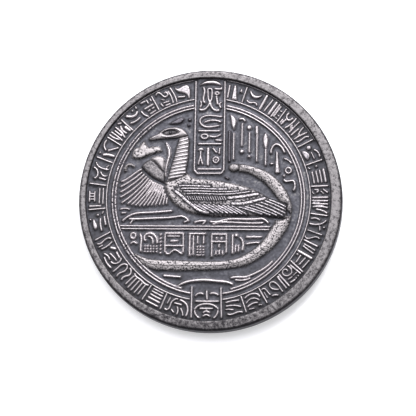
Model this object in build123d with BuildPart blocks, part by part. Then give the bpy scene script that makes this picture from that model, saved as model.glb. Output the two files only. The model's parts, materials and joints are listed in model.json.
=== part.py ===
from build123d import *
import os
from math import cos, radians, sin

# Driving sizes, mm
coin_diameter = 40.0
coin_thickness = 3.0
rim_depth = 0.7
reverse_depth = 0.5
rim_rounding = 0.34
strike_x = -0.33
strike_y = 0.20

# The design is drawn for a 40 mm coin and follows the diameter
unit = coin_diameter / 40.0
coin_radius = coin_diameter / 2
rim_inner_radius = 18.95 * unit
rim_foot_radius = 18.55 * unit
border_line_radius = 15.5
outer_ring_radius = 14.6
inner_ring_radius = 14.15

# Heights of the relief, tied to the depth of the rim
line_height = 0.5 * rim_depth
sign_height = 0.55 * rim_depth
figure_height = 0.7 * rim_depth
feather_height = 0.2 * rim_depth
reverse_height = 0.7 * reverse_depth

# Widths of the struck lines, on the 40 mm coin
thin_line = 0.2
fine_line = 0.26
sign_line = 0.32
bold_line = 0.44

field_z = coin_thickness - rim_depth
figure_z = field_z + figure_height
field_plane = Plane(origin=(strike_x * unit, strike_y * unit, field_z))
rim_plane = Plane(origin=(strike_x * unit, strike_y * unit, coin_thickness))
figure_plane = Plane(origin=(strike_x * unit, strike_y * unit, figure_z))
reverse_plane = Plane.XY.offset(reverse_depth)


def clock(angle, radius):
    """Design point at a clock angle, degrees from the top, and a radius."""
    return (radius * sin(radians(angle)), radius * cos(radians(angle)))


def run(points):
    """A straight edge through two points, or a smooth one through more."""
    places = [(x * unit, y * unit) for x, y in points]
    if len(places) == 2:
        Line(*places)
    else:
        Spline(*places)


def stroke(width, *points):
    """A round-ended raised line through design points."""
    with BuildLine(mode=Mode.PRIVATE) as path:
        run(points)
    centre = path.edge()
    if len(points) == 2:
        SlotArc(centre, width * unit)
    else:
        half = width / 2 * unit
        steps = 2 * len(points) - 2
        shares = [step / steps for step in range(steps + 1)]
        across = [(centre % share).rotate(Axis.Z, 90) * half for share in shares]
        middle = [centre @ share for share in shares]
        with BuildLine(mode=Mode.PRIVATE) as outline:
            left = Spline(*[place + side for place, side in zip(middle, across)])
            right = Spline(*[place - side for place, side in zip(middle, across)])
            ThreePointArc(left @ 0, middle[0] - (centre % 0) * half, right @ 0)
            ThreePointArc(left @ 1, middle[-1] + (centre % 1) * half, right @ 1)
        make_face(outline.edges())


def sign(width, *points):
    """A round-ended raised line through (clock angle, radius) points."""
    stroke(width, *[clock(angle, radius) for angle, radius in points])


def arc(width, radius, start, end):
    """A round-ended raised line along a circle of the design, clockwise."""
    with BuildLine(mode=Mode.PRIVATE) as path:
        CenterArc((0, 0), radius * unit, 90 - start, start - end)
    SlotArc(path.edge(), width * unit)


def disc(x, y, radius):
    """A round stud at a design point."""
    with Locations((x * unit, y * unit)):
        Circle(radius * unit)


def border_disc(angle, radius, size):
    """A round stud in the border."""
    x, y = clock(angle, radius)
    disc(x, y, size)


def loop(x, y, width, height, line):
    """A raised oval ring round a design point."""
    with Locations((x * unit, y * unit)):
        Ellipse((width + line) / 2 * unit, (height + line) / 2 * unit)
        Ellipse((width - line) / 2 * unit, (height - line) / 2 * unit, mode=Mode.SUBTRACT)


def shape(*runs):
    """A closed outline made of smooth runs that meet at corners."""
    with BuildLine(mode=Mode.PRIVATE) as outline:
        for points in runs:
            run(points)
    make_face(outline.edges())


def clear_of(*sketches):
    """Cuts the neighbours' outlines out of the sketch in hand."""
    for neighbour in sketches:
        add(neighbour.sketch_local, mode=Mode.SUBTRACT)


# ---------------------------------------------------------------- blank and rims

with BuildPart() as coin_blank:
    with BuildSketch(reverse_plane):
        Circle(coin_radius)
    extrude(amount=coin_thickness - rim_depth - reverse_depth)

with BuildPart() as obverse_rim:
    with BuildSketch(Plane.XY.offset(field_z)):
        Circle(coin_radius)
    extrude(amount=rim_depth)
    fillet(obverse_rim.edges().group_by(Axis.Z)[-1], radius=rim_rounding)
    with BuildSketch(field_plane):
        Circle(rim_foot_radius)
    with BuildSketch(rim_plane):
        Circle(rim_inner_radius)
    loft(mode=Mode.SUBTRACT)

with BuildPart() as reverse_rim:
    with BuildSketch():
        Circle(coin_radius)
    extrude(amount=reverse_depth)
    fillet(reverse_rim.edges().group_by(Axis.Z)[0], radius=rim_rounding)
    with BuildSketch():
        Circle(rim_inner_radius)
    with BuildSketch(reverse_plane):
        Circle(rim_foot_radius)
    loft(mode=Mode.SUBTRACT)

# ---------------------------------------------------------------- top column and bottom panel

with BuildPart() as column_frame:
    with BuildSketch(field_plane):
        stroke(fine_line, (-2.17, 18.1), (-2.2, 4.45))
        stroke(fine_line, (2.25, 18.1), (2.28, 4.5))
        stroke(fine_line, (-2.2, 4.45), (-1.75, 3.95))
        stroke(fine_line, (2.28, 4.5), (1.9, 3.98))
        stroke(fine_line, (-1.75, 3.95), (1.9, 3.98))
        stroke(fine_line, (-1.65, 4.62), (1.75, 4.65))
    extrude(amount=sign_height)

with BuildPart() as column_upper_signs:
    with BuildSketch(field_plane):
        shape([(-1.55, 17.55), (-0.9, 18.05), (0.2, 18.25), (1.2, 18.05), (1.75, 17.5)],
              [(1.75, 17.5), (1.2, 17.62), (0.2, 17.78), (-0.9, 17.68), (-1.55, 17.55)])
        stroke(fine_line, (1.7, 17.15), (1.72, 16.95))
        stroke(fine_line, (0.75, 17.0), (1.5, 16.95))
        loop(1.05, 16.3, 0.62, 0.4, 0.2)
        stroke(sign_line, (0.98, 15.75), (1.15, 14.7))
        stroke(sign_line, (-0.98, 17.1), (-0.92, 16.0), (-0.98, 15.2), (-0.8, 14.85))
        stroke(fine_line, (-0.35, 16.8), (-0.1, 17.05), (0.2, 16.9), (0.3, 16.2), (0.25, 15.4), (0.0, 14.9))
        stroke(fine_line, (-0.35, 16.8), (-0.3, 15.9), (-0.2, 15.3), (0.0, 14.9))
        stroke(sign_line, (-0.05, 14.75), (-0.45, 14.1), (-0.95, 13.75), (-1.5, 13.8))
        stroke(sign_line, (0.1, 14.7), (0.35, 14.05), (0.7, 13.75), (1.35, 13.7))
        stroke(fine_line, (-1.4, 15.05), (-1.3, 14.6), (-1.45, 14.2))
        stroke(fine_line, (1.65, 14.9), (1.5, 14.4), (1.65, 14.1))
    extrude(amount=sign_height)

with BuildPart() as column_lower_signs:
    with BuildSketch(field_plane):
        stroke(fine_line, (1.8, 12.7), (0.5, 12.85), (-0.8, 12.75), (-1.4, 12.3), (-1.4, 11.7),
               (-0.9, 11.25), (0.4, 11.15), (1.35, 11.3))
        stroke(fine_line, (1.65, 11.9), (0.5, 12.15), (-0.7, 11.85))
        stroke(fine_line, (-1.6, 10.5), (1.5, 10.5))
        loop(-0.75, 9.65, 1.0, 0.65, 0.24)
        stroke(fine_line, (0.05, 9.7), (1.1, 9.65), (1.6, 9.9))
        stroke(fine_line, (1.0, 9.1), (1.8, 9.05))
        stroke(fine_line, (-1.6, 8.5), (1.75, 8.5))
        shape([(-1.7, 7.45), (-1.5, 7.85), (-1.15, 7.9), (-0.85, 7.45)], [(-0.85, 7.45), (-1.7, 7.45)])
        stroke(fine_line, (-1.28, 7.3), (-1.3, 6.6))
        stroke(fine_line, (-1.3, 6.6), (-1.6, 5.4))
        stroke(fine_line, (-1.3, 6.6), (-0.98, 5.4))
        stroke(bold_line, (-0.15, 7.75), (-0.15, 5.35))
        loop(1.05, 6.05, 0.85, 0.85, 0.22)
        disc(1.05, 6.05, 0.16)
        stroke(fine_line, (1.6, 7.8), (1.55, 7.0))
        stroke(fine_line, (0.6, 7.8), (1.1, 7.2))
    extrude(amount=sign_height)

with BuildPart() as panel_frame:
    with BuildSketch(field_plane):
        stroke(fine_line, (-2.25, -13.5), (-2.28, -18.05))
        stroke(fine_line, (2.15, -13.6), (2.3, -18.05))
        stroke(fine_line, (-1.6, -15.6), (1.75, -15.6))
    extrude(amount=sign_height)

with BuildPart() as panel_signs:
    with BuildSketch(field_plane):
        stroke(fine_line, (-1.65, -14.75), (-1.2, -14.4), (-0.55, -14.5))
        stroke(fine_line, (0.6, -14.4), (1.2, -14.35), (1.7, -14.6))
        stroke(sign_line, (0.0, -14.1), (0.08, -15.2))
        stroke(fine_line, (-1.75, -16.8), (-1.1, -16.2), (0.0, -16.0), (1.1, -16.2), (1.75, -16.75))
        stroke(fine_line, (-1.75, -17.15), (-1.55, -17.7), (-1.1, -18.1))
        stroke(fine_line, (1.75, -17.1), (1.55, -17.7), (1.15, -18.1))
        stroke(fine_line, (-0.95, -16.7), (0.9, -16.7))
        stroke(fine_line, (-0.45, -17.3), (0.0, -17.1), (0.45, -17.3))
        stroke(fine_line, (-0.45, -17.85), (0.0, -17.65), (0.45, -17.85))
    extrude(amount=sign_height)

with BuildPart() as bottom_arch:
    with BuildSketch(field_plane) as bottom_arch_sketch:
        shape([(-4.65, -13.45), (-4.1, -12.95), (-3.0, -12.45), (-1.5, -12.2), (0.0, -12.15), (1.5, -12.3),
               (3.0, -12.45), (4.05, -12.85)],
              [(4.05, -12.85), (3.95, -13.15)],
              [(3.95, -13.15), (3.0, -12.85), (1.5, -12.7), (0.0, -12.58), (-1.5, -12.62), (-3.0, -12.85),
               (-4.1, -13.25), (-4.65, -13.45)])
    extrude(amount=line_height)

# ---------------------------------------------------------------- ring lines of the design

with BuildPart() as rim_line:
    with BuildSketch(field_plane) as rim_line_sketch:
        arc(0.14, 18.46, -50, -8)
        arc(0.14, 18.46, 8, 60)
    extrude(amount=0.5 * line_height)

with BuildPart() as border_line:
    with BuildSketch(field_plane) as border_line_sketch:
        arc(thin_line, border_line_radius, 9.5, 170.8)
        arc(thin_line, border_line_radius, 189.7, 351)
    extrude(amount=line_height)

with BuildPart() as outer_ring:
    with BuildSketch(field_plane):
        arc(fine_line, outer_ring_radius, 10.5, 170)
        arc(fine_line, outer_ring_radius, 190, 350)
        clear_of(bottom_arch_sketch)
    extrude(amount=line_height)

with BuildPart() as inner_ring:
    with BuildSketch(field_plane) as inner_ring_sketch:
        arc(fine_line, inner_ring_radius, 10.5, 165)
        arc(fine_line, inner_ring_radius, 196, 350)
        clear_of(bottom_arch_sketch)
    extrude(amount=line_height)

# ---------------------------------------------------------------- border cells

with BuildPart() as border_dividers:
    with BuildSketch(field_plane) as divider_sketch:
        sign(fine_line, (18.1, 15.75), (18.1, 18.1))
        sign(bold_line, (28.6, 15.85), (28.6, 18.1))
        sign(fine_line, (40.6, 15.75), (40.0, 18.1))
        sign(fine_line, (59.1, 15.75), (59.5, 18.15))
        sign(fine_line, (70.2, 15.75), (70.2, 18.2))
        sign(fine_line, (82.5, 15.75), (83.1, 18.2))
        sign(fine_line, (97.6, 15.75), (97.6, 18.2))
        sign(bold_line, (119.5, 15.85), (119.5, 18.1))
        sign(fine_line, (126.4, 15.75), (127.2, 18.2))
        sign(fine_line, (149.8, 15.75), (149.8, 18.2))
        sign(fine_line, (160.6, 15.75), (160.6, 18.2))
        sign(fine_line, (202.6, 15.75), (202.6, 18.2))
        sign(fine_line, (212.4, 15.75), (212.4, 18.2))
        sign(fine_line, (250.8, 15.75), (249.5, 18.2))
        sign(fine_line, (264.5, 15.75), (264.5, 18.2))
        sign(fine_line, (277.3, 15.75), (277.3, 18.2))
        sign(fine_line, (290.5, 15.75), (290.5, 18.2))
        sign(fine_line, (301.3, 15.75), (301.3, 18.15))
        sign(fine_line, (312.0, 15.75), (312.0, 18.1))
        sign(fine_line, (323.6, 15.75), (322.3, 16.4), (322.2, 17.0))
        sign(fine_line, (330.5, 15.75), (330.5, 18.1))
        sign(fine_line, (341.3, 15.75), (341.4, 16.6), (340.9, 17.4), (340.3, 18.15))
        clear_of(border_line_sketch, rim_line_sketch)
    extrude(amount=sign_height)

with BuildPart() as border_signs_upper_right:
    with BuildSketch(field_plane):
        # obelisk and a small gable
        sign(sign_line, (9.7, 15.9), (9.7, 17.7))
        shape([clock(11.8, 17.95), clock(12.9, 17.95)], [clock(12.9, 17.95), clock(15.0, 15.75)],
              [clock(15.0, 15.75), clock(11.9, 15.75)], [clock(11.9, 15.75), clock(11.8, 17.95)])
        shape([clock(15.1, 17.1), clock(15.9, 17.8)], [clock(15.9, 17.8), clock(16.7, 17.1)],
              [clock(16.7, 17.1), clock(15.1, 17.1)])
        # shallow boat over a water line
        shape([clock(20.1, 17.95), clock(21.2, 17.2), clock(23.3, 16.95), clock(25.2, 17.2),
               clock(26.3, 17.95)],
              [clock(26.3, 17.95), clock(24.9, 17.55), clock(23.3, 17.4), clock(21.5, 17.6),
               clock(20.1, 17.95)])
        sign(fine_line, (20.4, 16.25), (22.3, 16.08), (24.3, 16.34), (26.2, 16.18))
        # four reeds
        sign(sign_line, (31.3, 15.95), (32.0, 18.0))
        sign(bold_line, (34.2, 15.95), (34.3, 18.0))
        sign(sign_line, (36.1, 15.85), (36.1, 18.0))
        sign(fine_line, (37.4, 16.1), (37.2, 17.9))
        sign(thin_line, (38.6, 16.1), (39.4, 16.1))
        sign(thin_line, (38.6, 16.6), (39.4, 16.6))
        sign(thin_line, (38.4, 17.4), (39.1, 17.4))
        # wading bird
        sign(sign_line, (42.2, 17.9), (42.6, 17.3), (43.6, 17.1), (45.2, 17.75))
        sign(fine_line, (43.3, 16.8), (43.2, 15.9))
        sign(fine_line, (42.0, 16.6), (42.1, 16.0))
        # staff, rod and lying leaf
        sign(sign_line, (46.2, 15.95), (46.9, 17.3), (46.6, 18.1))
        sign(fine_line, (48.9, 18.1), (49.1, 17.0), (49.5, 15.95))
        sign(thin_line, (47.8, 17.0), (48.3, 16.4))
        sign(sign_line, (51.4, 15.95), (51.2, 17.3))
        sign(fine_line, (52.1, 18.1), (52.6, 17.4), (53.4, 16.8))
        sign(fine_line, (54.2, 15.9), (54.5, 17.0), (55.1, 18.0))
        sign(fine_line, (56.0, 15.9), (56.7, 16.6), (56.5, 17.3), (57.3, 17.9))
        clear_of(divider_sketch, border_line_sketch, rim_line_sketch)
    extrude(amount=sign_height)

with BuildPart() as border_signs_right:
    with BuildSketch(field_plane):
        # seated figure reduced to a sun disc over a hill
        border_disc(62.2, 17.1, 0.36)
        sign(sign_line, (64.4, 17.75), (66.2, 18.1), (68.3, 18.1))
        sign(fine_line, (65.0, 17.15), (68.2, 17.2))
        shape([clock(62.0, 15.9), clock(63.4, 16.5), clock(65.4, 16.75), clock(67.8, 16.1)],
              [clock(67.8, 16.1), clock(65.0, 15.85), clock(62.0, 15.9)])
        # ladder of four rungs
        border_disc(72.5, 17.1, 0.2)
        sign(thin_line, (71.9, 15.85), (72.8, 16.1))
        arc(bold_line, 18.0, 75.0, 80.8)
        arc(sign_line, 17.4, 75.0, 80.8)
        arc(sign_line, 16.85, 75.0, 80.8)
        arc(sign_line, 16.25, 75.0, 80.8)
        # tent and three posts
        sign(fine_line, (84.7, 17.5), (86.3, 18.1))
        sign(thin_line, (85.6, 17.15), (86.8, 17.5))
        sign(fine_line, (84.5, 16.2), (84.9, 16.8), (86.0, 16.5))
        sign(thin_line, (85.6, 15.8), (86.8, 16.05))
        sign(sign_line, (88.7, 15.85), (88.7, 18.1))
        sign(sign_line, (90.4, 15.85), (90.4, 18.1))
        sign(sign_line, (92.0, 15.85), (92.0, 18.1))
        sign(sign_line, (93.7, 18.1), (93.4, 17.1), (93.7, 15.95))
        sign(sign_line, (96.3, 18.1), (95.3, 17.3), (95.0, 16.5))
        # crook, cup and steps
        sign(sign_line, (100.2, 18.15), (101.6, 17.75), (102.8, 17.0), (103.2, 15.9))
        sign(fine_line, (103.6, 17.45), (105.2, 17.6))
        border_disc(103.5, 18.1, 0.18)
        sign(fine_line, (100.2, 17.2), (99.7, 16.5), (100.3, 15.95))
        sign(thin_line, (106.9, 15.85), (107.2, 18.1))
        sign(fine_line, (109.3, 17.9), (109.1, 17.3), (110.3, 16.75), (111.3, 16.25), (110.6, 15.8))
        sign(sign_line, (113.1, 18.1), (112.7, 15.9))
        sign(fine_line, (115.3, 18.0), (114.7, 16.15))
        sign(fine_line, (117.0, 18.0), (116.0, 16.15))
        clear_of(divider_sketch, border_line_sketch, rim_line_sketch)
    extrude(amount=sign_height)

with BuildPart() as border_signs_lower_right:
    with BuildSketch(field_plane):
        # stacked oars
        sign(sign_line, (121.1, 18.0), (125.7, 17.8))
        sign(sign_line, (121.1, 17.3), (125.3, 17.1))
        sign(sign_line, (121.2, 16.5), (125.1, 16.5))
        border_disc(121.4, 15.98, 0.2)
        # hall with a coiled mark
        sign(sign_line, (128.5, 18.1), (128.4, 16.1))
        border_disc(130.0, 18.05, 0.17)
        border_disc(131.5, 18.05, 0.17)
        sign(thin_line, (129.4, 17.5), (131.4, 17.45))
        sign(sign_line, (132.8, 18.05), (134.8, 17.9))
        sign(fine_line, (132.5, 17.45), (134.7, 17.3))
        sign(fine_line, (129.8, 15.85), (129.7, 16.5), (130.9, 16.95), (133.2, 16.9), (134.6, 16.4),
             (133.8, 15.85), (132.2, 15.85), (131.8, 16.35))
        sign(sign_line, (136.4, 15.85), (136.5, 18.1))
        sign(sign_line, (137.9, 15.95), (138.2, 18.05))
        # tied bundle beside a hook
        sign(fine_line, (140.6, 18.1), (140.5, 17.5), (140.5, 16.7), (141.6, 16.05), (143.2, 15.95),
             (144.2, 16.4), (143.2, 17.1), (141.7, 17.45))
        sign(sign_line, (143.6, 18.1), (144.6, 17.85), (145.7, 17.75))
        sign(fine_line, (146.4, 17.4), (146.8, 16.6), (147.6, 16.1), (148.6, 16.1))
        sign(thin_line, (148.4, 17.6), (148.4, 16.7))
        # nested bowls
        sign(sign_line, (151.5, 16.8), (152.4, 16.25), (154.3, 15.98), (156.8, 15.95), (158.8, 16.15))
        sign(fine_line, (152.6, 17.3), (154.2, 16.75), (156.6, 16.6), (159.0, 16.95))
        sign(sign_line, (154.0, 17.5), (156.4, 17.35), (158.9, 17.55))
        sign(thin_line, (152.4, 18.1), (153.8, 17.95))
        sign(thin_line, (156.4, 18.1), (158.8, 18.0))
        # three long streams
        sign(sign_line, (162.5, 18.05), (164.4, 17.85), (166.6, 17.95), (169.4, 17.85))
        sign(fine_line, (166.6, 17.35), (168.4, 17.15), (169.9, 17.1))
        sign(fine_line, (162.5, 17.15), (164.4, 16.85), (169.6, 16.6))
        sign(sign_line, (162.6, 16.15), (166.2, 16.0), (169.3, 16.05))
        clear_of(divider_sketch, border_line_sketch, rim_line_sketch)
    extrude(amount=sign_height)

with BuildPart() as border_signs_lower_left:
    with BuildSketch(field_plane):
        # vault with nested ribs
        sign(sign_line, (189.7, 18.1), (189.4, 17.3), (190.1, 16.6), (191.8, 16.15), (194.4, 15.95))
        sign(fine_line, (191.3, 18.15), (192.0, 17.6), (193.0, 17.2))
        sign(fine_line, (194.2, 18.15), (194.2, 17.5), (194.9, 17.1))
        sign(fine_line, (196.0, 18.0), (197.3, 17.7))
        sign(fine_line, (200.6, 17.9), (199.2, 17.9), (198.6, 17.3), (198.6, 16.7), (197.5, 16.1),
             (196.0, 15.9))
        sign(fine_line, (193.3, 16.6), (196.8, 16.6))
        sign(thin_line, (200.0, 16.1), (200.4, 17.0))
        # stack of planks
        sign(sign_line, (204.3, 18.05), (210.3, 18.05))
        sign(sign_line, (204.3, 17.4), (210.3, 17.4))
        sign(fine_line, (204.3, 16.85), (210.3, 16.85))
        sign(fine_line, (204.3, 16.35), (210.3, 16.35))
        sign(thin_line, (204.5, 15.9), (210.3, 15.9))
        # comb of reeds
        sign(sign_line, (214.0, 15.95), (216.5, 16.05), (219.0, 15.95), (221.5, 16.05), (223.5, 15.9))
        sign(fine_line, (215.2, 16.3), (215.5, 17.9))
        sign(fine_line, (217.2, 16.3), (217.4, 18.1))
        sign(fine_line, (219.2, 16.3), (219.4, 18.1))
        sign(fine_line, (221.2, 16.3), (221.4, 18.1))
        sign(fine_line, (223.1, 16.3), (223.3, 17.9))
        # winding path and a jar
        sign(sign_line, (226.3, 17.9), (226.2, 17.2), (225.2, 16.6), (226.0, 16.0), (227.4, 15.85))
        sign(fine_line, (229.0, 18.1), (229.3, 17.5), (228.6, 16.9), (228.7, 16.2), (230.1, 15.85),
             (231.7, 16.2), (232.1, 16.9), (231.9, 18.1))
        # long leaf pair
        sign(sign_line, (234.1, 18.05), (236.4, 18.15), (239.8, 18.05))
        sign(fine_line, (236.4, 17.5), (234.9, 17.3), (234.0, 16.7), (234.7, 16.0))
        sign(fine_line, (237.8, 17.5), (240.0, 17.5), (241.6, 17.8))
        sign(fine_line, (235.6, 16.75), (238.0, 16.8), (240.3, 17.0))
        sign(sign_line, (235.9, 16.1), (239.0, 16.05))
        sign(bold_line, (241.2, 15.98), (242.7, 16.45))
        # knotted cord
        sign(fine_line, (244.2, 17.8), (244.6, 16.6), (245.4, 16.0))
        sign(thin_line, (245.6, 18.15), (245.8, 17.5))
        sign(fine_line, (247.3, 18.1), (247.3, 17.3), (248.2, 16.5), (247.5, 15.95))
        clear_of(divider_sketch, border_line_sketch, rim_line_sketch)
    extrude(amount=sign_height)

with BuildPart() as border_signs_left:
    with BuildSketch(field_plane):
        # fish over a bank
        shape([clock(254.3, 17.85), clock(256.0, 17.95), clock(259.9, 17.65)],
              [clock(259.9, 17.65), clock(257.5, 17.4), clock(255.2, 17.35), clock(254.3, 17.85)])
        sign(sign_line, (253.3, 16.85), (256.0, 16.8), (259.0, 16.65))
        sign(sign_line, (255.6, 16.05), (259.8, 16.0))
        border_disc(261.4, 16.95, 0.2)
        border_disc(259.6, 18.15, 0.16)
        sign(thin_line, (261.8, 16.25), (262.9, 16.05))
        # brick wall
        sign(fine_line, (266.2, 18.1), (266.1, 16.4))
        sign(fine_line, (268.6, 18.1), (273.4, 18.1))
        sign(fine_line, (268.6, 17.3), (273.4, 17.3))
        sign(fine_line, (267.6, 16.6), (275.2, 16.6))
        sign(fine_line, (267.2, 16.05), (275.4, 16.05))
        sign(thin_line, (269.6, 17.9), (269.6, 17.5))
        sign(thin_line, (271.0, 17.9), (271.0, 17.5))
        sign(thin_line, (272.4, 17.9), (272.4, 17.5))
        # perched bird
        sign(sign_line, (280.3, 17.65), (281.8, 17.3), (283.6, 17.4), (285.3, 18.1))
        sign(fine_line, (280.7, 16.9), (280.4, 15.95))
        sign(fine_line, (283.8, 16.9), (282.6, 16.6), (282.4, 16.0))
        sign(fine_line, (287.9, 18.0), (286.4, 17.5), (285.9, 16.8), (286.1, 15.95))
        sign(thin_line, (287.0, 16.3), (288.2, 16.1))
        # sickle and angle
        border_disc(293.0, 18.05, 0.18)
        sign(bold_line, (292.8, 17.4), (293.6, 16.8), (294.1, 15.95))
        sign(sign_line, (299.6, 18.05), (297.2, 18.0), (295.4, 17.45))
        sign(sign_line, (295.8, 17.0), (299.2, 15.95))
        clear_of(divider_sketch, border_line_sketch, rim_line_sketch)
    extrude(amount=sign_height)

with BuildPart() as border_signs_upper_left:
    with BuildSketch(field_plane):
        # nested cup
        sign(fine_line, (302.9, 18.1), (302.9, 17.0), (303.4, 16.5))
        sign(fine_line, (304.4, 18.1), (304.4, 17.1), (304.0, 16.0))
        sign(fine_line, (305.9, 17.8), (305.8, 16.5))
        sign(fine_line, (307.4, 18.0), (307.2, 16.9), (306.2, 15.95))
        sign(sign_line, (309.3, 17.5), (308.5, 17.0), (308.5, 16.2))
        sign(fine_line, (309.4, 18.1), (310.7, 17.8))
        sign(bold_line, (310.6, 16.9), (310.9, 16.1))
        # flying bird
        sign(bold_line, (315.0, 17.9), (316.7, 17.35), (318.4, 17.15), (320.1, 17.3))
        sign(sign_line, (314.2, 16.7), (316.0, 16.45), (319.4, 16.4))
        border_disc(318.8, 17.95, 0.18)
        sign(fine_line, (321.2, 18.1), (321.0, 17.85))
        # house with a lintel
        sign(sign_line, (324.4, 18.05), (326.2, 18.0))
        sign(fine_line, (327.4, 18.0), (327.4, 17.45))
        sign(thin_line, (329.1, 17.9), (329.3, 17.5))
        sign(sign_line, (324.4, 17.0), (329.0, 16.95))
        sign(fine_line, (325.2, 16.45), (326.3, 16.45))
        sign(fine_line, (327.7, 16.45), (328.8, 16.45))
        sign(fine_line, (325.4, 15.9), (328.6, 15.9))
        # shell and steps
        sign(fine_line, (332.6, 17.95), (334.2, 18.15), (335.2, 17.7), (336.4, 17.15), (337.9, 17.25),
             (337.8, 17.75), (336.9, 17.75))
        sign(fine_line, (338.9, 17.7), (339.4, 16.8), (339.3, 15.85))
        sign(thin_line, (334.2, 16.95), (335.3, 16.8))
        sign(fine_line, (332.9, 16.4), (333.4, 15.95))
        sign(fine_line, (334.6, 16.35), (337.4, 16.3))
        sign(fine_line, (334.9, 15.88), (337.4, 15.85))
        # folded wing
        shape([clock(342.6, 18.15), clock(343.3, 17.75), clock(346.0, 17.85), clock(349.4, 17.6)],
              [clock(349.4, 17.6), clock(349.6, 16.8), clock(348.8, 15.85)],
              [clock(348.8, 15.85), clock(347.8, 15.85)],
              [clock(347.8, 15.85), clock(347.4, 16.5), clock(345.4, 16.9), clock(343.2, 17.3),
               clock(342.6, 18.15)])
        sign(fine_line, (342.8, 16.4), (346.2, 16.25))
        clear_of(divider_sketch, border_line_sketch, rim_line_sketch)
    extrude(amount=sign_height)

# ---------------------------------------------------------------- goose

with BuildSketch(field_plane) as head_outline:
    shape([(-9.2, 9.2), (-8.6, 9.62), (-8.0, 9.9), (-7.65, 10.08)],
          [(-7.65, 10.08), (-7.1, 10.55), (-6.3, 10.9), (-5.4, 11.02), (-4.4, 10.85), (-3.75, 10.45),
           (-3.3, 9.75)],
          [(-3.3, 9.75), (-4.6, 9.45)],
          [(-4.6, 9.45), (-5.6, 9.3), (-6.8, 9.25), (-8.0, 9.08), (-9.0, 8.95)],
          [(-9.0, 8.95), (-9.2, 9.2)])

with BuildSketch(field_plane) as neck_outline:
    shape([(-4.6, 9.4), (-3.3, 9.7)],
          [(-3.3, 9.7), (-3.05, 9.2), (-3.05, 8.0), (-3.08, 6.6), (-3.25, 5.2), (-3.38, 4.3), (-3.2, 3.85)],
          [(-3.2, 3.85), (-5.0, 3.0), (-6.55, 2.55)],
          [(-6.55, 2.55), (-6.1, 3.8), (-5.75, 5.1), (-5.4, 6.2), (-5.15, 7.4), (-4.85, 8.6), (-4.6, 9.4)])

with BuildSketch(field_plane) as body_outline:
    shape([(-3.2, 3.85), (-2.6, 3.3), (-1.0, 3.0), (1.0, 2.82), (3.0, 2.5), (5.0, 2.05), (7.0, 1.4),
           (8.4, 0.65), (9.4, 0.1), (10.4, -0.2), (12.0, -0.9)],
          [(12.0, -0.9), (11.85, -1.9), (12.25, -2.85)],
          [(12.25, -2.85), (10.0, -2.7), (8.0, -2.5), (5.0, -2.5), (2.0, -2.6), (-0.5, -2.45), (-2.0, -2.2),
           (-3.3, -1.8), (-4.4, -1.2), (-5.3, -0.5), (-5.95, 0.3), (-6.4, 1.3), (-6.55, 2.55)],
          [(-6.55, 2.55), (-5.0, 3.0), (-3.2, 3.85)])

with BuildPart() as goose_head:
    add(head_outline.sketch)
    extrude(amount=figure_height)
    # almond hollow of the eye
    with BuildSketch(figure_plane):
        shape([(-7.2, 10.1), (-6.5, 10.5), (-5.6, 10.58), (-4.75, 10.2)],
              [(-4.75, 10.2), (-5.6, 9.92), (-6.5, 9.82), (-7.2, 10.1)])
    extrude(amount=-0.6 * figure_height, mode=Mode.SUBTRACT)

with BuildPart() as goose_eyelids:
    with BuildSketch(figure_plane):
        stroke(fine_line, (-7.2, 9.66), (-6.5, 9.52), (-5.6, 9.6), (-4.7, 9.88))
        stroke(thin_line, (-6.9, 10.55), (-6.2, 10.72), (-5.3, 10.78), (-4.5, 10.45))
        stroke(thin_line, (-8.7, 9.35), (-8.1, 9.62), (-7.75, 9.72))
    extrude(amount=feather_height)

with BuildPart() as goose_eyeball:
    with BuildSketch(Plane(origin=(strike_x * unit, strike_y * unit, figure_z - 0.6 * figure_height))):
        disc(-5.95, 10.2, 0.2)
    extrude(amount=0.4 * figure_height)

with BuildPart() as goose_neck:
    add(neck_outline.sketch)
    extrude(amount=figure_height)

with BuildPart() as goose_neck_rings:
    with BuildSketch(figure_plane):
        stroke(sign_line, (-4.5, 8.85), (-3.3, 9.2))
        stroke(sign_line, (-4.68, 8.25), (-3.25, 8.6))
        stroke(sign_line, (-4.82, 7.65), (-3.25, 7.98))
        stroke(sign_line, (-4.98, 7.05), (-3.28, 7.38))
        stroke(sign_line, (-5.1, 6.45), (-3.3, 6.8))
        stroke(sign_line, (-5.28, 5.85), (-3.38, 6.22))
        stroke(sign_line, (-5.44, 5.28), (-3.45, 5.64))
        stroke(sign_line, (-5.6, 4.72), (-3.52, 5.1))
        stroke(sign_line, (-5.75, 4.2), (-3.6, 4.55))
        stroke(sign_line, (-5.92, 3.68), (-3.58, 4.05))
        stroke(sign_line, (-6.1, 3.15), (-4.0, 3.52))
    extrude(amount=feather_height)

with BuildPart() as goose_body:
    add(body_outline.sketch)
    extrude(amount=figure_height)

with BuildPart() as goose_breast_ridge:
    with BuildSketch(figure_plane) as breast_ridge_sketch:
        stroke(bold_line, (-4.95, 1.1), (-4.0, 0.35), (-3.0, -0.55), (-2.0, -1.3), (-1.1, -1.85),
               (0.0, -2.15))
    extrude(amount=feather_height)

with BuildPart() as goose_wing_coverts:
    with BuildSketch(figure_plane) as covert_sketch:
        stroke(fine_line, (-4.35, 1.98), (-2.2, 2.0), (0.2, 1.9))
        stroke(fine_line, (-4.1, 1.57), (-2.0, 1.6), (0.5, 1.52), (2.8, 1.53))
        stroke(fine_line, (-3.7, 1.16), (-1.0, 1.18), (2.0, 1.11), (4.6, 1.24))
        stroke(fine_line, (-3.2, 0.75), (-0.5, 0.78), (2.2, 0.71), (4.4, 0.87), (6.3, 1.16))
    extrude(amount=feather_height)

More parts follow.
